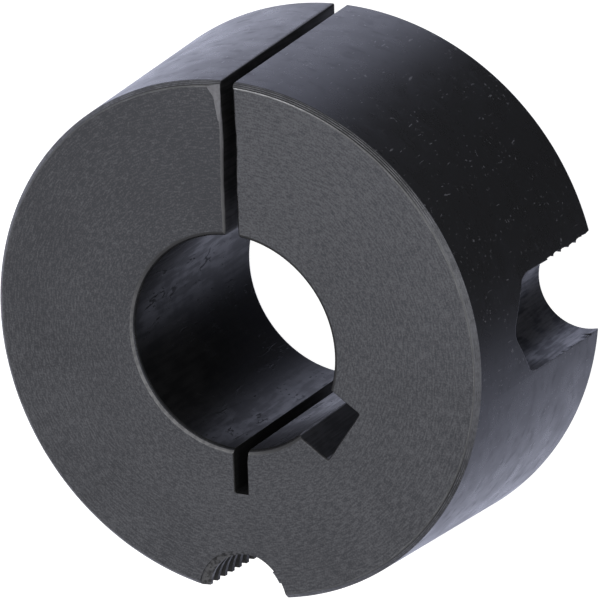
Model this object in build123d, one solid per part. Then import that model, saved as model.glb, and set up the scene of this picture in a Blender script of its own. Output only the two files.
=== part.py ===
from build123d import *
import math
import os

os.makedirs("parts", exist_ok=True)

# A taper bush grips a shaft in its bore when its tapered outside is drawn into a hub.
# It stands on its large end: the bore's axis is +Z, z = 0 is the large end's face,
# and the split is on the +Y side. Sizes are in millimetres, bearings in degrees from +X.

# Tapered body
large_end_d = 57.15
length = 25.4
taper_deg = 8.0  # included angle of the outside
large_end_chamfer = 0.4
small_end_chamfer = 0.5

# Bore for the shaft
bore_d = 22.225
bore_chamfer = 0.6

# Keyway broached along the bore
key_width = 6.35
key_depth = 3.4  # from the bore's wall to the floor, on the keyway's middle line
key_bearing = -34.3

# Saw cut in one plane: the split through the wall, and the slit in the wall across from it
saw_width = 1.45
saw_offset = 0.38  # from the bore's axis to the middle of the cut, towards +X
split_edge_break = 0.25  # where the split opens in the two end faces
slit_depth = 4.65  # from the bore's wall to the slit's end

# Screw half-holes, whose axes run parallel to the bore just inside the tapered surface
screw_inset = 1.65  # from the large end's edge to the screw axes
seat_d = 10.1  # plain half-holes for the clamping screws
seat_wall = 7.65  # from a seat's blind end to the small end's face
drill_point_deg = 118.0
drill_tip_round = 1.8
drill_corner_round = 3.2
seat_bearing = 4.3
jack_drill_d = 8.3  # hole that the release screw's thread is cut in
jack_thread_d = 9.8  # across the thread's roots
jack_bearing = -90.0

# How far each cutting tool runs past the face that it opens
cut_past = 1.0

bore_r = bore_d / 2
large_end_r = large_end_d / 2
taper_slope = math.tan(math.radians(taper_deg / 2))
screw_circle_r = large_end_r - screw_inset


def outside_r(z):
    """Radius of the tapered surface at height z."""
    return large_end_r - z * taper_slope


def tapered_ring():
    """The bush before it is cut: one section turned about the bore's axis."""
    shoulder_z = length - small_end_chamfer
    section = Polyline(
        (bore_r, bore_chamfer),
        (bore_r + bore_chamfer, 0),
        (outside_r(0) - large_end_chamfer, 0),
        (outside_r(large_end_chamfer), large_end_chamfer),
        (outside_r(shoulder_z), shoulder_z),
        (outside_r(length) - small_end_chamfer, length),
        (bore_r + bore_chamfer, length),
        (bore_r, length - bore_chamfer),
        close=True,
    )
    return revolve(Plane.XZ * make_face(section), Axis.Z)


def radial_cut(reach, width, bearing, offset=0.0):
    """A slot the full length of the bush, from its axis out to reach along a bearing."""
    slot = Box(reach, width, length + 2 * cut_past, align=(Align.MIN, Align.CENTER, Align.MIN))
    return Rot(0, 0, bearing) * Pos(0, offset, -cut_past) * slot


def split_cut():
    """The slot through the wall, widened by a chamfer where it opens in each end face."""
    half = saw_width / 2
    flare = half + split_edge_break + cut_past
    section = Polyline(
        (half, split_edge_break),
        (half, length - split_edge_break),
        (flare, length + cut_past),
        (-flare, length + cut_past),
        (-half, length - split_edge_break),
        (-half, split_edge_break),
        (-flare, -cut_past),
        (flare, -cut_past),
        close=True,
    )
    return Pos(saw_offset, 0, 0) * extrude(Plane.XZ * make_face(section), -large_end_r - cut_past)


def on_screw_circle(tool, bearing):
    """Moves a tool made about +Z to one of the screw axes."""
    return Rot(0, 0, bearing) * Pos(screw_circle_r, 0, 0) * tool


def screw_seat():
    """A blind hole, open at the large end, from a drill with a rounded point and corners."""
    seat_r = seat_d / 2
    point = math.radians(drill_point_deg / 2)
    ball_z = length - seat_wall - drill_tip_round
    sharp_tip_z = ball_z + drill_tip_round / math.sin(point)
    shoulder = (seat_r, sharp_tip_z - seat_r / math.tan(point))
    ball_top = (0, ball_z + drill_tip_round)
    ball_edge = (drill_tip_round * math.cos(point), ball_z + drill_tip_round * math.sin(point))
    straight = Polyline(ball_top, (0, -cut_past), (seat_r, -cut_past), shoulder, ball_edge)
    section = make_face(straight + RadiusArc(ball_edge, ball_top, -drill_tip_round))
    corner = section.vertices().sort_by_distance((*shoulder, 0))[0]
    return revolve(Plane.XZ * fillet(corner, drill_corner_round), Axis.Z)


def jack_hole():
    """A through hole at its thread's drill size, countersunk to the thread's size at both ends."""
    drill_r = jack_drill_d / 2
    thread_r = jack_thread_d / 2
    sink = thread_r - drill_r
    section = Polyline(
        (0, -cut_past),
        (thread_r + cut_past, -cut_past),
        (drill_r, sink),
        (drill_r, length - sink),
        (thread_r + cut_past, length + cut_past),
        (0, length + cut_past),
        close=True,
    )
    return revolve(Plane.XZ * make_face(section), Axis.Z)


bush = tapered_ring()
bush -= radial_cut(bore_r + key_depth, key_width, key_bearing)
bush -= split_cut()
bush -= radial_cut(bore_r + slit_depth, saw_width, -90, saw_offset)
for bearing in (seat_bearing, seat_bearing + 180):
    bush -= on_screw_circle(screw_seat(), bearing)
bush -= on_screw_circle(jack_hole(), jack_bearing)

bush.label = "taper_bush"
export_step(bush, "parts/taper_bush.step")
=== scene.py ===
import math
import bmesh
import bpy
from mathutils import Matrix, Vector, noise


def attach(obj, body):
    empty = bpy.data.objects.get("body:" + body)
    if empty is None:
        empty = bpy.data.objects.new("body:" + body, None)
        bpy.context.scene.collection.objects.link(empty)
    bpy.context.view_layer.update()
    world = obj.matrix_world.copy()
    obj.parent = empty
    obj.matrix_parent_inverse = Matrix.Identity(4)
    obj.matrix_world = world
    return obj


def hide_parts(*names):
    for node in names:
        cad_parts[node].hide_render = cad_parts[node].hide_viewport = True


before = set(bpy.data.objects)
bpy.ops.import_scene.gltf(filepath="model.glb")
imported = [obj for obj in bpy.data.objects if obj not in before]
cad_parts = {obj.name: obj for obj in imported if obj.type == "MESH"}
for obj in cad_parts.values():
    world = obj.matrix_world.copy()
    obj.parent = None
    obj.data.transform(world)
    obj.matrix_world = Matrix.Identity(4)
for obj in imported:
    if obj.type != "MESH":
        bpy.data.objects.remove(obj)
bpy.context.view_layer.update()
mm = 0.001
noise.seed_set(5)  # the rough edges come out the same each time


# small helpers for shader trees

def put(tree, kind, settings, wires):
    # adds one node; each wire is a value or another node's output
    node = tree.nodes.new("ShaderNode" + kind)
    for name, value in settings.items():
        setattr(node, name, value)
    for socket, value in wires.items():
        if isinstance(value, bpy.types.NodeSocket):
            tree.links.new(value, node.inputs[socket])
        else:
            node.inputs[socket].default_value = value
    return node


def calc(tree, operation, a, b=0.0, c=0.0):
    return put(tree, "Math", {"operation": operation}, {0: a, 1: b, 2: c}).outputs[0]


def ramp(tree, value, low, high, toLow=0.0, toHigh=1.0):
    wires = {"Value": value, "From Min": low, "From Max": high, "To Min": toLow, "To Max": toHigh}
    return put(tree, "MapRange", {"interpolation_type": "SMOOTHSTEP"}, wires).outputs["Result"]


def mottle(tree, place, scale, detail=3.0, stretch=None):
    if stretch:
        wires = {"Vector": place, "Scale": stretch}
        place = put(tree, "Mapping", {"vector_type": "TEXTURE"}, wires).outputs["Vector"]
    return put(tree, "TexNoise", {}, {"Vector": place, "Scale": scale, "Detail": detail}).outputs[0]


def tint(tree, share, dark, light):
    # mixes two colours, whose sockets are 6 and 7; the dark one may be a wire
    if not isinstance(dark, bpy.types.NodeSocket):
        dark = (*dark, 1)
    return put(tree, "Mix", {"data_type": "RGBA"}, {"Factor": share, 6: dark, 7: (*light, 1)}).outputs[2]


def both(tree, a, b):
    # an even mix of two patterns
    return calc(tree, "MULTIPLY_ADD", a, 0.5, calc(tree, "MULTIPLY", b, 0.5))


def vector(tree, x, y, z):
    return put(tree, "CombineXYZ", {}, {0: x, 1: y, 2: z}).outputs[0]


def aroundBore(tree, place):
    # radius, bearing in radians (its seam falls in the split) and height
    part = put(tree, "SeparateXYZ", {}, {0: place}).outputs
    flat = vector(tree, part[0], part[1], 0.0)
    radius = put(tree, "VectorMath", {"operation": "LENGTH"}, {0: flat}).outputs["Value"]
    bearing = calc(tree, "ARCTAN2", part[0], calc(tree, "MULTIPLY", part[1], -1.0))
    return radius, bearing, part[2]


def drawnAlong(tree, first, firstScale, second, secondScale, detail):
    # noise drawn on two of those measures, each with its own scale
    first, second = calc(tree, "MULTIPLY", first, firstScale), calc(tree, "MULTIPLY", second, secondScale)
    return mottle(tree, vector(tree, first, second, 0.0), 1.0, detail)


def startMaterial(name, look):
    # a material whose patterns are drawn in millimetres on Object coordinates
    material = bpy.data.materials.new(name)
    material.use_nodes = True
    tree = material.node_tree
    shader = tree.nodes["Principled BSDF"]
    shader.inputs["IOR"].default_value = look.get("ior", 1.5)
    shader.inputs["Specular Tint"].default_value = (*look.get("sheenTint", (1, 1, 1)), 1)
    place = put(tree, "TexCoord", {}, {}).outputs["Object"]
    inMm = put(tree, "VectorMath", {"operation": "SCALE"}, {0: place, "Scale": 1 / mm}).outputs["Vector"]
    return material, tree, shader, inMm


rubbing = {"width": 0.16, "edgeRound": 0.07, "bareAndHighlight": (0.2, 0.2, 0.205), "shine": 0.55, "patch": 1.6}


def finishSurface(tree, shader, place, colour, roughness, height, depth, rub=1.0):
    # the coat is rubbed through along the edges, and the edges are very slightly rounded
    tree.links.new(roughness, shader.inputs["Roughness"])
    wires = {"Height": height, "Distance": depth * mm, "Strength": 1.0}
    if not rub:
        tree.links.new(colour, shader.inputs["Base Color"])
        tree.links.new(put(tree, "Bump", {}, wires).outputs["Normal"], shader.inputs["Normal"])
        return
    turned = put(tree, "Bevel", {"samples": 6}, {"Radius": rubbing["width"] * mm}).outputs[0]
    own = put(tree, "NewGeometry", {}, {}).outputs["Normal"]
    match = put(tree, "VectorMath", {"operation": "DOT_PRODUCT"}, {0: turned, 1: own}).outputs["Value"]
    patchy = ramp(tree, mottle(tree, place, rubbing["patch"], 4.0), 0.35, 0.65, 0.25, rub)
    bareAndHighlight = calc(tree, "MULTIPLY", ramp(tree, match, 0.99, 0.86), patchy)
    tree.links.new(tint(tree, bareAndHighlight, colour, rubbing["bareAndHighlight"]), shader.inputs["Base Color"])
    tree.links.new(calc(tree, "MULTIPLY", bareAndHighlight, rubbing["shine"]), shader.inputs["Metallic"])
    rounded = put(tree, "Bevel", {"samples": 6}, {"Radius": rubbing["edgeRound"] * mm}).outputs[0]
    wires["Normal"] = rounded
    tree.links.new(put(tree, "Bump", {}, wires).outputs["Normal"], shader.inputs["Normal"])


turnedFace = {
    "darkSide": (0.05, 0.051, 0.056), "lightSide": (0.112, 0.113, 0.121), "roughness": 0.5,
    "sheenTint": (0.85, 0.88, 1.0), "lines": 5.8, "lineBreak": 24.0, "grain": 5.4, "depth": 0.014,
    "contrast": 5.5, "clouds": 0.16, "cloudShare": 0.4, "flecks": 2.2, "fleckShare": 0.45,
    # two painted highlights round the bore, where the turned rings catch the light: bearing from, bearing
    # to, lightness from, lightness to
    "paintedHighlight": [(-math.pi, -0.6, 0.12, 0.42), (1.5, 3.1, 0.0, 0.2)],
}


def faceFinish():
    # turned face: fine broken rings under a dull grey coat, with a painted highlight by bearing that leaves
    # it darker towards one side of the split
    look = turnedFace
    material, tree, shader, place = startMaterial("turned face", look)
    radius, bearing = aroundBore(tree, place)[:2]
    rings = drawnAlong(tree, radius, look["lines"], bearing, look["lineBreak"], 4.0)
    grain = mottle(tree, place, look["grain"], 5.0)
    cloud = mottle(tree, place, look["clouds"])
    fleck = ramp(tree, mottle(tree, place, look["flecks"], 1.0), 0.7, 0.8)
    mix = both(tree, rings, grain)
    contrast, cloudShare = look["contrast"], look["cloudShare"]
    # painted highlight: the face is made lighter by bearing, where its turned rings would catch the light
    share = calc(tree, "ADD", *[ramp(tree, bearing, *paintedHighlight) for paintedHighlight in look["paintedHighlight"]])
    share = calc(tree, "ADD", share, calc(tree, "MULTIPLY_ADD", mix, contrast, -contrast / 2))
    share = calc(tree, "ADD", share, calc(tree, "MULTIPLY_ADD", cloud, cloudShare, -cloudShare / 2))
    share = calc(tree, "MULTIPLY_ADD", fleck, look["fleckShare"], share)
    colour = tint(tree, share, look["darkSide"], look["lightSide"])
    roughness = ramp(tree, cloud, 0.3, 0.7, look["roughness"] - 0.06, look["roughness"] + 0.06)
    finishSurface(tree, shader, place, colour, roughness, mix, look["depth"], rub=0.6)
    return material


groundTaper = {
    "colour": (0.0235, 0.0235, 0.0237), "fleck": (0.13, 0.13, 0.135), "roughness": 0.29,
    "sheenTint": (0.78, 0.82, 1.0), "ior": 1.4, "depth": 0.0035, "dull": 0.07, "clouds": 0.35,
    # how closely each kind of mark is drawn along the height and round the bearing
    "streaks": (4.0, 16.0), "dullMarks": (1.1, 14.0), "scratches": (0.6, 85.0),
    "specks": 2.4, "speckPatches": 0.3,
}


def taperFinish():
    # ground taper: satin black, fine streaks and dull marks round it, light specks and short scratches
    look = groundTaper
    material, tree, shader, place = startMaterial("ground taper", look)
    bearing, height = aroundBore(tree, place)[1:]
    (streaksUp, streaksRound), (marksUp, marksRound) = look["streaks"], look["dullMarks"]
    scratchesUp, scratchesRound = look["scratches"]
    streaks = drawnAlong(tree, height, streaksUp, bearing, streaksRound, 4.0)
    marks = ramp(tree, drawnAlong(tree, height, marksUp, bearing, marksRound, 5.0), 0.52, 0.68)
    cloud = mottle(tree, place, look["clouds"])
    speckPatches = ramp(tree, mottle(tree, place, look["speckPatches"], 2.0), 0.44, 0.62)
    specks = calc(tree, "MULTIPLY", ramp(tree, mottle(tree, place, look["specks"]), 0.64, 0.7), speckPatches)
    scratches = drawnAlong(tree, bearing, scratchesRound, height, scratchesUp, 2.0)
    scratches = calc(tree, "MULTIPLY", ramp(tree, scratches, 0.665, 0.7), ramp(tree, cloud, 0.45, 0.6))
    light = calc(tree, "MAXIMUM", specks, scratches)
    colour = tint(tree, light, look["colour"], look["fleck"])
    rough = ramp(tree, cloud, 0.25, 0.75, look["roughness"] - 0.04, look["roughness"] + 0.05)
    rough = calc(tree, "MULTIPLY_ADD", marks, look["dull"], rough)
    finishSurface(tree, shader, place, colour, rough, streaks, look["depth"])
    return material


def cutFinish(name, look):
    # a cut wall: one directional grain, a little mottling and, where named, winding scores along it
    material, tree, shader, place = startMaterial(name, look)
    grain = mottle(tree, place, look["grain"], 4.0, look.get("stretch"))
    cloud = mottle(tree, place, 0.4)
    share = ramp(tree, both(tree, cloud, grain), 0.38, 0.62)
    low, high = look.get("range", (0.65, 1.4))  # the darkest and lightest of it, in shares of its colour
    colour = tint(tree, share, [c * low for c in look["colour"]], [c * high for c in look["colour"]])
    rough = ramp(tree, share, 0.0, 1.0, look["roughness"] + 0.08, look["roughness"] - 0.05)
    height = grain
    if "scores" in look:
        line = calc(tree, "SUBTRACT", mottle(tree, place, look["scores"], 5.0, (1, 1, 4)), 0.5)
        near = ramp(tree, calc(tree, "ABSOLUTE", line), 0.0, 0.014, 1.0, 0.0)
        pits = ramp(tree, mottle(tree, place, 3.2, 4.0, (1, 1, 2)), 0.6, 0.66)
        hurt = calc(tree, "MULTIPLY", calc(tree, "MAXIMUM", near, pits), ramp(tree, cloud, 0.5, 0.62))
        rough = calc(tree, "MULTIPLY_ADD", hurt, 0.25, rough)
        height = calc(tree, "MULTIPLY_ADD", hurt, -look["scoreDepth"] / look["depth"], height)
    finishSurface(tree, shader, place, colour, rough, height, look["depth"], look.get("rub", 1.0))
    return material


cutWalls = {
    "bore": {"colour": (0.01, 0.01, 0.0105), "roughness": 0.37, "sheenTint": (0.62, 0.66, 0.8), "ior": 1.35,
             "grain": 1.6, "depth": 0.008, "stretch": (1, 1, 8), "scores": 0.2, "scoreDepth": 0.018},
    "sawn": {"colour": (0.009, 0.009, 0.009), "roughness": 0.5, "range": (0.3, 2.3),
             "grain": 3.0, "depth": 0.02, "stretch": (1, 1, 14), "rub": 0.3},
    "slit": {"colour": (0.005, 0.005, 0.005), "roughness": 0.6, "grain": 3.0, "depth": 0.01,
             "stretch": (1, 1, 14), "rub": 0.2},
    "key": {"colour": (0.015, 0.015, 0.017), "roughness": 0.42, "range": (0.4, 1.9),
            "grain": 4.0, "depth": 0.008, "stretch": (1, 1, 14)},
    "drilled": {"colour": (0.024, 0.024, 0.026), "roughness": 0.38, "sheenTint": (0.75, 0.8, 1.0),
                "ior": 1.5, "range": (0.3, 2.2), "grain": 3.0, "depth": 0.03, "stretch": (1, 1, 7)},
    "rim": {"colour": (0.02, 0.02, 0.0205), "roughness": 0.32, "sheenTint": (0.8, 0.84, 1.0),
            "grain": 2.5, "depth": 0.004, "rub": 0},
    # line: the outer rims' flat facets, painted lighter than the steep ones as a highlight for the light
    # they catch
    "line": {"colour": (0.105, 0.106, 0.113), "roughness": 0.42, "grain": 2.5, "depth": 0.004, "rub": 0},
}


# where the coat is worn through to bare metal, and where an edge has a painted highlight: by the radius (0),
# the bearing (1) or the height (2), lighter from high on and, where an end is given, dull again from endHigh
# to endLow
wearAndHighlightPlaces = {
    "split corner": {"by": 0, "low": 18.5, "high": 25.0,
                     "dull": (0.1, 0.1, 0.104), "bareAndHighlight": (0.165, 0.165, 0.183),
                     "roughness": 0.38, "grain": 3.0, "depth": 0.03, "patchy": 0.6},
    # face edge highlight: the small end's glint facet, painted much lighter on the bearings right of the
    # split where it would reflect the light
    "face edge highlight": {"by": 1, "low": 2.55, "high": 2.95,
                  "dull": (0.095, 0.096, 0.1), "bareAndHighlight": (0.4, 0.405, 0.42),
                  "roughness": 0.38, "grain": 2.2, "depth": 0.01, "patchy": 0.6},
    # bore edge highlight: the bore rims' flat facets, painted lighter than the steep ones, with a brighter
    # painted highlight crescent over the bearings that catch the light
    "bore edge highlight": {"by": 1, "low": 0.5, "high": -0.6, "endLow": -2.4, "endHigh": -1.5,
                  "dull": (0.06, 0.06, 0.064), "bareAndHighlight": (0.17, 0.17, 0.178),
                  "roughness": 0.38, "grain": 2.2, "depth": 0.01, "patchy": 0.45},
    # rim highlight: the small end's steep outer facets, dark, with a painted highlight over the bearings
    # facing +X
    "rim highlight": {"by": 1, "low": 1.1, "high": 1.42, "endLow": 2.42, "endHigh": 2.05,
                   "dull": (0.02, 0.02, 0.0205), "bareAndHighlight": (0.15, 0.153, 0.17),
                   "roughness": 0.34, "grain": 2.5, "depth": 0.004, "patchy": 0.75},
    "thread start": {"by": 2, "low": 22.9, "high": 24.3,
                     "dull": (0.017, 0.017, 0.018), "bareAndHighlight": (0.13, 0.13, 0.135),
                     "roughness": 0.5, "grain": 2.6, "depth": 0.06, "patchy": 0.15},
}


def wearAndHighlightFinish(name, look):
    # an edge going along one measure from its dull coat to a lighter colour: bare metal on the split corner
    # and thread start, a painted highlight on the face edge, bore edge and rim; patchy is the least that
    # shows
    material, tree, shader, place = startMaterial("worn " + name, look)
    along = aroundBore(tree, place)[look["by"]]
    grain = mottle(tree, place, look["grain"], 4.0)
    share = calc(tree, "MULTIPLY", ramp(tree, along, look["low"], look["high"]),
                 ramp(tree, grain, 0.35, 0.6, look["patchy"], 1.0))
    if "endLow" in look:
        share = calc(tree, "MULTIPLY", share, ramp(tree, along, look["endLow"], look["endHigh"]))
    colour = tint(tree, share, look["dull"], look["bareAndHighlight"])
    rough = ramp(tree, grain, 0.3, 0.7, look["roughness"] + 0.08, look["roughness"] - 0.08)
    finishSurface(tree, shader, place, colour, rough, grain, look["depth"], rub=0)
    return material


# sizes in millimetres, bearings in degrees from +X
bush = {
    "largeEndR": 28.575, "length": 25.4, "taperDeg": 8.0, "boreR": 11.1125, "turns": 240,
    # the turned rims as (outwards, up) from the sharp corner
    "smallRim": [(0.039, -0.56), (0.0, -0.497), (-0.055, -0.451), (-0.11, -0.369), (-0.195, -0.307),
                 (-0.255, -0.218), (-0.345, -0.153), (-0.42, -0.064), (-0.52, -0.017), (-0.6, 0.0)],
    "largeRim": [(-0.46, 0.0), (-0.28, 0.05), (-0.12, 0.17), (-0.05, 0.33), (-0.034, 0.46)],
    "boreRim": [(0.0, 0.47), (0.083, 0.29), (0.182, 0.187), (0.315, 0.083), (0.463, 0.0)],
}
screwCircle = 26.925  # from the bore's axis to the screws' axes
past = 1.0  # how far the tools run past the faces


def outsideR(z):
    return bush["largeEndR"] - z * math.tan(math.radians(bush["taperDeg"] / 2))


def meshObject(name, bm, material):
    mesh = bpy.data.meshes.new(name)
    bm.to_mesh(mesh)
    bm.free()
    mesh.materials.append(material)
    thing = bpy.data.objects.new(name, mesh)
    bpy.context.scene.collection.objects.link(thing)
    return thing


def turnSection(name, points, material, steps, closed=True, sweep=math.tau, start=0.0):
    # spins a section of (radius, height) points round the axis
    bm = bmesh.new()
    verts = [bm.verts.new((r * mm, 0, z * mm)) for r, z in points]
    edges = [bm.edges.new(pair) for pair in zip(verts, verts[1:] + verts[:1] if closed else verts[1:])]
    bmesh.ops.rotate(bm, cent=(0, 0, 0), matrix=Matrix.Rotation(start, 3, "Z"), verts=verts)
    full = sweep == math.tau
    geom = verts + edges
    if not full:
        geom += [bm.faces.new(verts)]
    bmesh.ops.spin(bm, geom=geom, cent=(0, 0, 0), axis=(0, 0, 1), angle=sweep, steps=steps, use_merge=full)
    bmesh.ops.remove_doubles(bm, verts=bm.verts, dist=1e-7)
    bmesh.ops.recalc_face_normals(bm, faces=bm.faces)
    return meshObject(name, bm, material)


def pushSection(name, points, stations, material):
    # pushes a flat section step by step; each station is the place and swell of its own loop
    bm = bmesh.new()
    verts = [bm.verts.new(Vector(p) * mm) for p in points]
    first = front = bm.faces.new(verts)
    bmesh.ops.transform(bm, matrix=stations[0], verts=front.verts)
    back = stations[0].inverted()
    for station in stations[1:]:
        behind = front
        made = bmesh.ops.extrude_face_region(bm, geom=[front])["geom"]
        front = [g for g in made if isinstance(g, bmesh.types.BMFace)][0]
        bmesh.ops.transform(bm, matrix=station @ back, verts=front.verts)
        back = station.inverted()
        if behind != first:
            bmesh.ops.delete(bm, geom=[behind], context="FACES_ONLY")
    bmesh.ops.recalc_face_normals(bm, faces=bm.faces)
    return meshObject(name, bm, material)


def roughen(thing, amount, scale):
    # shakes a cutter's corners so that the edge it leaves isn't dead straight
    for vert in thing.data.vertices:
        vert.co += noise.noise_vector(vert.co / mm * scale) * amount * mm
    return thing


def placed(thing, matrix):
    thing.data.transform(matrix)
    return thing


def cutAway(body, tool):
    # subtracts a tool from the body for good; the cut walls take the tool's finish
    cut = body.modifiers.new("cut", "BOOLEAN")
    cut.operation, cut.solver, cut.object = "DIFFERENCE", "EXACT", tool
    cut.material_mode = "TRANSFER"
    bpy.context.view_layer.update()
    left = bpy.data.meshes.new_from_object(body.evaluated_get(bpy.context.evaluated_depsgraph_get()))
    body.modifiers.clear()
    body.data = left
    bpy.data.objects.remove(tool)


def shift(x, y, z=0.0, widen=1.0):
    return Matrix.Translation((x * mm, y * mm, z * mm)) @ Matrix.Diagonal((widen, 1, 1, 1))


saw = {
    "width": 1.45, "offset": 0.38, "wander": 0.13, "wanderAt": 22.0, "wanderLong": 2.8,
    "leftBreak": 0.25, "rightBreak": 0.2, "rough": 0.035, "steps": 32,
    "lastAt": 28.5,  # where the blade's line is taken for the cut through the taper's edge
    # the split's worn mouth in the end faces, as (outwards, down) in shares of the break
    "mouth": [(0.0, 1.05), (0.17, 0.6), (0.4, 0.34), (0.68, 0.12), (1.12, -0.08)],
    # widening of each side where the split opens into the bore, as (distance from the axis, widening)
    "atBore": [(8.0, 0.5), (11.0, 0.2), (11.25, 0.08), (11.5, 0.02), (11.8, 0.0)],
    # and through the taper, as (distance past the large end's edge, widening)
    "atTaper": [(-0.16, 0.01), (-0.08, 0.04), (-0.03, 0.11), (0.01, 0.26), (1.2, 1.5)],
    "slitBreak": 0.11, "slitRough": 0.015,
    # the slit across from it, as (distance from the axis, widening to the left, widening to the right)
    "slit": [(9.0, 0.5, 0.6), (10.95, 0.06, 0.3), (11.2, 0.01, 0.2), (11.7, 0.0, 0.08), (12.3, 0.0, 0.0),
             (13.5, 0.0, 0.02), (15.6125, 0.0, 0.0), (15.7125, -0.06, 0.0), (15.7625, -0.18, 0.0)],
}


def sawCentre(y):
    # the blade ran a little off its line part of the way through the wall
    return saw["offset"] + saw["wander"] * math.exp(-((y - saw["wanderAt"]) / saw["wanderLong"]) ** 2)


def leaned(share):
    # leans upright loops in with the taper
    lean = Matrix.Identity(4)
    lean[1][2] = -share * math.tan(math.radians(bush["taperDeg"] / 2))
    return lean


def splitSaw(material, rubbed, rim):
    half, top, steps = saw["width"] / 2, bush["length"], saw["steps"]
    section = []
    for side, wear in ((1, saw["rightBreak"]), (-1, saw["leftBreak"])):
        # from the middle of the wall up to the mouth, over the worn edge
        points = [(side * (half + wear * out), 0, top - wear * down) for out, down in saw["mouth"]]
        points.append((side * (half + wear * 1.5), 0, top + past))
        low = [(x, y, top - z) for x, y, z in points]
        section += (low[::-1] + points)[::side]
    stations = [shift(saw["offset"], y, widen=1 + grow / half) for y, grow in saw["atBore"]]
    first, last = saw["atBore"][-1][0], outsideR(0) - 0.3
    for k in range(steps):
        y = first + (k + 1) * (last - first) / steps
        stations.append(leaned(k / steps) @ shift(sawCentre(y), y))
    for away, grow in saw["atTaper"]:
        station = shift(sawCentre(saw["lastAt"]), outsideR(0) + away, widen=1 + grow / half)
        stations.append(leaned(1) @ station)
    tool = pushSection("split_saw", section, stations, material)
    tool.data.materials.append(rubbed)
    tool.data.materials.append(rim)
    for face in tool.data.polygons:
        x, y, z = face.center / mm
        left, atTaper = x < saw["offset"], y - outsideR(z) > -0.12
        wear = saw["leftBreak"] if left else saw["rightBreak"]
        atMouth = not wear < z < top - wear
        if atTaper or (left and atMouth):
            face.material_index = 1
        elif atMouth:
            face.material_index = 2
    return roughen(tool, saw["rough"], 1.1)


def slitSaw(material):
    half, top, wear = saw["width"] / 2, bush["length"], saw["slitBreak"]
    points = [(half, 0, top - wear), (half + wear * 0.35, 0, top - wear * 0.35), (half + wear, 0, top),
              (half + wear, 0, top + past)]
    right = [(x, y, top - z) for x, y, z in points][::-1] + points
    section = right + [(-x, y, z) for x, y, z in right[::-1]]
    stations = []
    for y, toLeft, toRight in saw["slit"]:
        wide = (2 * half + toLeft + toRight) / (2 * half)
        stations.append(shift(saw["offset"] + (toRight - toLeft) / 2, -y, widen=wide))
    return roughen(pushSection("slit_saw", section, stations, material), saw["slitRough"], 1.3)


keyway = {
    "width": 6.35, "floor": 14.5125, "bearing": -34.3, "corner": 0.25, "edge": 0.15,
    # how far each side opens towards the bore, as (distance from the axis, widening)
    "mouth": [(8.0, 1.0), (10.5, 0.14), (10.64, 0.05), (10.82, 0.0)],
}


def keyBroach(material):
    half, floor, corner = keyway["width"] / 2, keyway["floor"], keyway["corner"]
    side = [(x, half + grow) for x, grow in keyway["mouth"]]
    side += [(floor - corner * (1 - math.sin(a)), half - corner * (1 - math.cos(a)))
             for a in (0, math.pi / 6, math.pi / 3, math.pi / 2)]
    section = [(x, y, 0) for x, y in side] + [(x, -y, 0) for x, y in side[::-1]]
    edge, top = keyway["edge"], bush["length"]
    turn = Matrix.Rotation(math.radians(keyway["bearing"]), 4, "Z")
    stations = []
    # the keyway opens a little in each end face
    for z, grow in ((-past, 1.0), (-0.02, edge), (edge * 0.4, edge * 0.35), (edge, 0.0), (top - edge, 0.0),
                    (top - edge * 0.4, edge * 0.35), (top + 0.02, edge), (top + past, 1.0)):
        swell = Matrix.Diagonal((1 + grow / floor, 1 + grow / half, 1, 1))
        stations.append(turn @ Matrix.Translation((0, 0, z * mm)) @ swell)
    return pushSection("keyway_broach", section, stations, material)


seat = {
    "r": 5.05, "tip": 17.75, "pointDeg": 118.0, "tipRound": 1.8, "cornerRound": 3.2, "bearing": 4.3,
    # the blunt marks that a screw has pressed into the walls, deepest at every so many millimetres
    "marks": {"coreR": 4.93, "crestR": 5.17, "low": 1.75, "high": 9.35, "phase": 0.25,
              "bite": 0.07, "deepAt": 7.1, "deepEvery": 4.65},
    "marksAt": (1.0, 0.09),  # how far the marks lie outwards and to the side
    # knocks on the corner of one lip, as the way that each faces and its depth
    "lip": (1.227, 4.899),
    "knocks": [((0.93, -0.41, -0.35), 0.42), ((0.7, -0.7, -0.1), 0.52), ((0.47, -0.96, 0.1), 0.34)],
    "knockSides": (4, 4, 3),
}


def seatDrill(material):
    # a blunt drill: its point and its corners are worn round
    point = math.radians(seat["pointDeg"] / 2)
    r, tipR, cornerR = seat["r"], seat["tipRound"], seat["cornerRound"]
    ball = seat["tip"] - tipR
    sharp = ball + tipR / math.sin(point)
    cornerZ = sharp - (r - cornerR) / math.tan(point) - cornerR / math.sin(point)
    profile = [(0, -past), (r, -past), (r, cornerZ)]
    for k in range(1, 9):
        a = (math.pi / 2 - point) * k / 8
        profile.append((r - cornerR * (1 - math.cos(a)), cornerZ + cornerR * math.sin(a)))
    for k in range(6):
        a = point + (math.pi / 2 - point) * k / 6
        profile.append((tipR * math.cos(a), ball + tipR * math.sin(a)))
    profile.append((0, seat["tip"]))
    return turnSection("seat_drill", profile, material, 96, closed=False)


release = {
    "drillR": 4.15, "threadR": 4.9, "pitch": 1.5875, "mouthR": 4.88, "phase": 0.5,
    # the broken start of the thread: its flank, how it leans, and the bearings where the stump stands
    "flankZ": 24.55, "flankDrop": 0.6, "leanDeg": 4.1, "stump": (27.0, 43.0), "stumpR": 4.6,
}
# one turn of a thread, as (height, share of the pitch)
sharpRidge = [(0, 0.0), (0, 0.14), (0.92, 0.44), (1, 0.47), (1, 0.53), (0.92, 0.56), (0, 0.86)]
bluntRidge = [(0, 0.0), (0.55, 0.06), (0.88, 0.2), (1, 0.5), (0.93, 0.8), (0.6, 0.94), (0, 1.0)]


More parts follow.
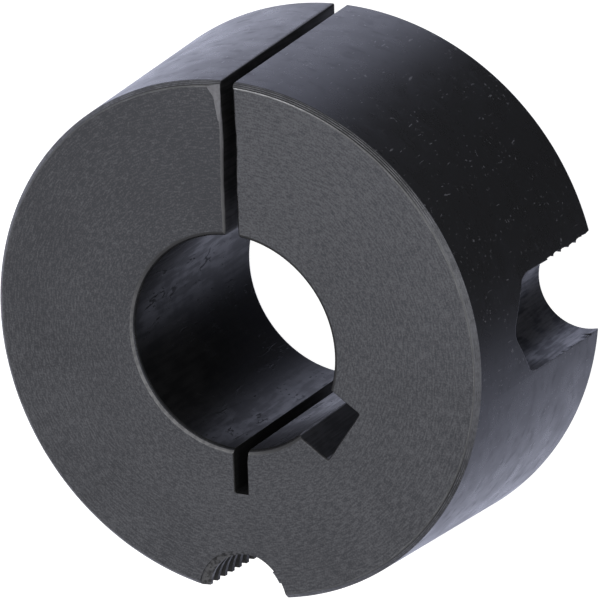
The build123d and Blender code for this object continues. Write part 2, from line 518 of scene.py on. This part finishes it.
def threadTap(name, material, ridge, coreR, crestR, low, high, phase, bite=0.0, deepAt=0.0, deepEvery=1.0):
    # a tap: its ridge climbs one pitch in each turn, and bite changes its height along the hole
    pitch, steps = release["pitch"], 72
    bm = bmesh.new()
    verts = []
    for k in range(-1, int((high - low) / pitch) + 2):
        for level, share in ridge:
            r = coreR + (crestR - coreR) * level
            z = low + (k - 1.5 + share + phase) * pitch
            verts.append(bm.verts.new((r * mm, 0, z * mm)))
    edges = [bm.edges.new(pair) for pair in zip(verts, verts[1:])]
    bmesh.ops.spin(bm, geom=verts + edges, cent=(0, 0, 0), axis=(0, 0, 1), angle=math.tau,
                   dvec=(0, 0, pitch / steps * mm), steps=steps, use_merge=False)
    bmesh.ops.remove_doubles(bm, verts=bm.verts, dist=1e-6)
    if bite:
        for vert in bm.verts:
            r = vert.co.xy.length / mm
            if r > coreR + 0.01:
                vert.co.xy *= 1 + bite * math.cos(math.tau * (vert.co.z / mm - deepAt) / deepEvery) / r
    for z, up in ((low, -1), (high, 1)):
        bmesh.ops.bisect_plane(bm, geom=bm.verts[:] + bm.edges[:] + bm.faces[:], plane_co=(0, 0, z * mm),
                               plane_no=(0, 0, up), clear_outer=True)
    bmesh.ops.holes_fill(bm, edges=[e for e in bm.edges if e.is_boundary], sides=0)
    bmesh.ops.recalc_face_normals(bm, faces=bm.faces)
    return meshObject(name, bm, material)


chips = [
    # corner, the way it faces, depth, sides of the block, its shift aside and the finish it leaves
    ((-0.345, 26.3, 25.4), (0.162, 0.104, 1), 0.22, (3.6, 2.6, 2), (-1.2, -0.98), "split corner"),
    ((-0.345, 25.2, 25.4), (0.306, 0.056, 1), 0.19, (1.7, 3.0, 1), (-0.3, -0.8), "split corner"),
    ((4.764, -25.865, 25.4), (-0.6, -0.7, 0.8), 0.1, (2, 2, 2), (0.0, 0.0), "thread start"),
]


def chip(corner, way, depth, sides, aside, material):
    # a block whose rough face takes off a corner, square to the way it faces
    bm = bmesh.new()
    bmesh.ops.create_cube(bm, size=1)
    bmesh.ops.subdivide_edges(bm, edges=bm.edges[:], cuts=5, use_grid_fill=True)
    across, along, tall = sides
    bmesh.ops.scale(bm, vec=(across * mm, along * mm, tall * mm), verts=bm.verts)
    bmesh.ops.translate(bm, vec=(aside[0] * mm, aside[1] * mm, (tall / 2 - depth) * mm), verts=bm.verts)
    way = Vector(way).normalized()
    right = Vector((0, 1, 0)).cross(way).normalized()
    turn = Matrix((right, way.cross(right), way)).transposed().to_4x4()
    bmesh.ops.transform(bm, matrix=Matrix.Translation(Vector(corner) * mm) @ turn, verts=bm.verts)
    bmesh.ops.recalc_face_normals(bm, faces=bm.faces)
    return roughen(meshObject("chip", bm, material), 0.03, 1.7)


def screwPlace(bearing, outwards=0.0):
    turn = Matrix.Rotation(math.radians(bearing), 4, "Z")
    return turn @ Matrix.Translation(((screwCircle + outwards) * mm, 0, 0))


def turnedBlank(finishes):
    b = bush
    top, rim, lowRim = b["length"], outsideR(b["length"]), outsideR(0)
    inner = [(b["boreR"] + out, up) for out, up in b["boreRim"]]
    section = inner + [(lowRim + out, up) for out, up in b["largeRim"]]
    section += [(rim + out, top + down) for out, down in b["smallRim"]]
    section += [(r, top - z) for r, z in inner[::-1]]
    body = turnSection("taper_bush_body", section, finishes["face"], b["turns"])
    slots = {"face": 0}
    for name in ("taper", "bore", "rim", "line", "face edge highlight", "bore edge highlight", "rim highlight"):
        slots[name] = len(slots)
        body.data.materials.append(finishes[name])
    low, high = b["largeRim"][-1][1], top + b["smallRim"][0][1]
    for face in body.data.polygons:
        r, z, flat = face.center.xy.length / mm, face.center.z / mm, abs(face.normal.z)
        outer = r > (b["boreR"] + rim) / 2
        if outer and low < z < high:
            name = "taper"
        elif r < b["boreR"] + 0.01:
            name = "bore"
        elif flat > 0.999:
            name = "face"
        elif flat > 0.7:  # the rims' flat facets get lighter colours, a painted highlight for the fine light lines
            name = "line" if outer else "bore edge highlight"
            # the small end's glint facet takes the painted face edge highlight
            if rim - 0.53 < r < rim - 0.42:
                name = "face edge highlight"
        else:
            # the small end's steep outer facets take the painted rim highlight
            name = "rim highlight" if outer and z > low else "rim"
        face.material_index = slots[name]
    return body


def cutSeats(body, finish):
    outwards, aside = seat["marksAt"]
    for bearing in (seat["bearing"], seat["bearing"] + 180):
        cutAway(body, placed(seatDrill(finish), screwPlace(bearing)))
        marks = threadTap("screw_marks", finish, bluntRidge, **seat["marks"])
        cutAway(body, placed(marks, screwPlace(bearing, outwards) @ Matrix.Translation((0, aside * mm, 0))))
        turn = Matrix.Rotation(math.radians(bearing), 3, "Z")
        lip = screwPlace(bearing) @ (Vector((*seat["lip"], 0.0)) * mm) / mm
        for way, depth in seat["knocks"]:
            cutAway(body, chip(lip, turn @ Vector(way), depth, seat["knockSides"], (0.0, 0.0), finish))


def releaseDrill(material):
    top, drillR, mouthR = bush["length"], release["drillR"], release["mouthR"]
    sink = mouthR - drillR
    section = [(0, -past), (mouthR + past, -past), (drillR, sink), (drillR, top - sink),
               (mouthR + past, top + past), (0, top + past)]
    return turnSection("release_drill", section, material, 96, closed=False)


def cutThreadStart(body, middle, material):
    # the thin start of the thread has broken away, all but a stump on one side
    flank, drop, threadR = release["flankZ"], release["flankDrop"], release["threadR"]
    lean = Matrix.Translation((0, 0, flank * mm)) @ Matrix.Rotation(math.radians(release["leanDeg"]), 4, "Y")
    lean = middle @ lean @ Matrix.Translation((0, 0, -flank * mm))
    stumpFrom, stumpTo = [math.radians(a) for a in release["stump"]]
    foot, high = flank - drop, bush["length"] + past
    for r, start, sweep in ((release["stumpR"], 0.0, math.tau),
                            (threadR + 0.05, stumpTo, math.tau - stumpTo + stumpFrom)):
        section = [(0, foot), (release["drillR"] - 0.2, foot), (r, flank - drop * (threadR - r)),
                   (r, high), (0, high)]
        broken = turnSection("thread_start", section, material, 90, sweep < math.tau, sweep, start)
        cutAway(body, placed(broken, lean))


def makeBush():
    finishes = {name: cutFinish(name + " wall", look) for name, look in cutWalls.items()}
    finishes.update({name: wearAndHighlightFinish(name, look) for name, look in wearAndHighlightPlaces.items()})
    finishes["face"], finishes["taper"] = faceFinish(), taperFinish()
    print("finishes mixed:", len(finishes))
    body = turnedBlank(finishes)
    print("turned blank:", len(body.data.polygons), "faces")

    cutAway(body, keyBroach(finishes["key"]))
    cutAway(body, splitSaw(finishes["sawn"], finishes["split corner"], finishes["rim"]))
    cutAway(body, slitSaw(finishes["slit"]))
    print("keyway, split and slit cut")
    cutSeats(body, finishes["drilled"])
    print("screw seats drilled")

    middle = Matrix.Translation((0, -screwCircle * mm, 0))
    cutAway(body, placed(releaseDrill(finishes["thread start"]), middle))
    cutThreadStart(body, middle, finishes["thread start"])
    # rubbed places at the split's small end, and a knock beside the release hole
    for corner, way, depth, sides, aside, name in chips:
        cutAway(body, chip(corner, way, depth, sides, aside, finishes[name]))
    # the thread comes last, because its fine ridges leave the least clean mesh to cut again
    tap = threadTap("release_tap", finishes["thread start"], sharpRidge, release["drillR"] - 0.1,
                    release["threadR"], -2, bush["length"] + 2, release["phase"])
    cutAway(body, placed(tap, middle))
    print("release thread cut:", len(body.data.polygons), "faces")
    return body


body = makeBush()
for face in body.data.polygons:
    face.use_smooth = True
body.data.set_sharp_from_angle(angle=math.radians(12))
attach(body, "root")
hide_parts("taper_bush")


studio = {
    "floorR": 3.0, "floorGlow": 0.93, "floorColour": 0.5,
    "tableLight": (0.805, 0.835, 1.035), "tableDark": (0.03, 0.03, 0.03),
    "tableLevel": 0.93, "tableFall": -0.6,  # the table's light falls off towards +X
    "horizon": (0.03, 0.03, 0.032), "sky": (0.28, 0.28, 0.29),
    # the dark side of the room: bearing, how far below the horizon, half its width and its soft edge
    "darkBearing": 35.2, "darkBelow": 62.4, "darkHalf": 31.2, "darkSoft": 8.5,
}


def makeFloor():
    bm = bmesh.new()
    bmesh.ops.create_circle(bm, cap_ends=True, radius=studio["floorR"], segments=96)
    material = bpy.data.materials.new("pale floor")
    material.use_nodes = True
    shader = material.node_tree.nodes["Principled BSDF"]
    shader.inputs["Base Color"].default_value = (studio["floorColour"],) * 3 + (1,)
    shader.inputs["Roughness"].default_value = 1
    shader.inputs["Specular IOR Level"].default_value = 0
    shader.inputs["Emission Color"].default_value = (1, 1, 1, 1)
    shader.inputs["Emission Strength"].default_value = studio["floorGlow"]
    floor = meshObject("floor", bm, material)
    floor.visible_glossy = floor.visible_diffuse = floor.visible_shadow = False


def makeWorld():
    # a pale table that is shaded on the camera's side, a dark horizon and a dim ceiling
    world = bpy.data.worlds.new("studio")
    bpy.context.scene.world = world
    world.use_nodes = True
    tree = world.node_tree
    way = put(tree, "TexCoord", {}, {}).outputs["Generated"]
    part = put(tree, "SeparateXYZ", {}, {0: way}).outputs
    bearing, below = math.radians(studio["darkBearing"]), math.radians(studio["darkBelow"])
    middle = (math.cos(below) * math.cos(bearing), math.cos(below) * math.sin(bearing), -math.sin(below))
    away = put(tree, "VectorMath", {"operation": "DOT_PRODUCT"}, {0: way, 1: middle}).outputs["Value"]
    edges = [math.cos(math.radians(studio["darkHalf"] + side * studio["darkSoft"])) for side in (-1, 1)]
    table = tint(tree, ramp(tree, away, *edges), studio["tableDark"], studio["tableLight"])
    fall = calc(tree, "MULTIPLY_ADD", part[0], studio["tableFall"], studio["tableLevel"])
    table = put(tree, "VectorMath", {"operation": "SCALE"}, {0: table, "Scale": fall}).outputs["Vector"]
    horizon = tint(tree, ramp(tree, part[2], -0.12, -0.02), table, studio["horizon"])
    ceiling = tint(tree, ramp(tree, part[2], 0.2, 0.45), horizon, studio["sky"])
    seen = put(tree, "LightPath", {}, {}).outputs["Is Camera Ray"]
    tree.links.new(tint(tree, seen, ceiling, (1, 1, 1)), tree.nodes["Background"].inputs["Color"])


softboxes = {
    "overhead softbox": {"place": (0.15, 0.15, 1.0), "wide": 0.9, "high": 0.9, "radiance": 1.75},
    "window": {"place": (-0.42, 0.56, 0.95), "wide": 0.3, "high": 0.5, "radiance": 5.0},
    "side softbox": {"place": (0.95, 0.14, 0.54), "wide": 1.0, "high": 0.35, "radiance": 1.6},
}


def makeLights():
    for name, box in softboxes.items():
        light = bpy.data.lights.new(name, "AREA")
        light.shape, light.size, light.size_y = "RECTANGLE", box["wide"], box["high"]
        light.energy = box["radiance"] * math.pi * box["wide"] * box["high"]
        lamp = bpy.data.objects.new(name, light)
        lamp.location = box["place"]
        lamp.rotation_mode = "QUATERNION"
        lamp.rotation_quaternion = (-Vector(box["place"])).to_track_quat("-Z", "Y")
        bpy.context.scene.collection.objects.link(lamp)


view = {
    "place": (0.2024332, 0.1437939, 0.3979758), "turnDeg": (-19.183244, 26.951179, -2.1308), "lens": 272.1,
}


def makeCamera():
    camera = bpy.data.objects.new("camera", bpy.data.cameras.new("camera"))
    camera.location = view["place"]
    camera.rotation_euler = [math.radians(a) for a in view["turnDeg"]]
    camera.data.lens, camera.data.sensor_width = view["lens"], 36
    camera.data.clip_start = 0.01
    bpy.context.scene.collection.objects.link(camera)
    bpy.context.scene.camera = camera


makeFloor()
makeWorld()
makeLights()
makeCamera()
bpy.context.scene.view_settings.view_transform = "Standard"
print("stage set")
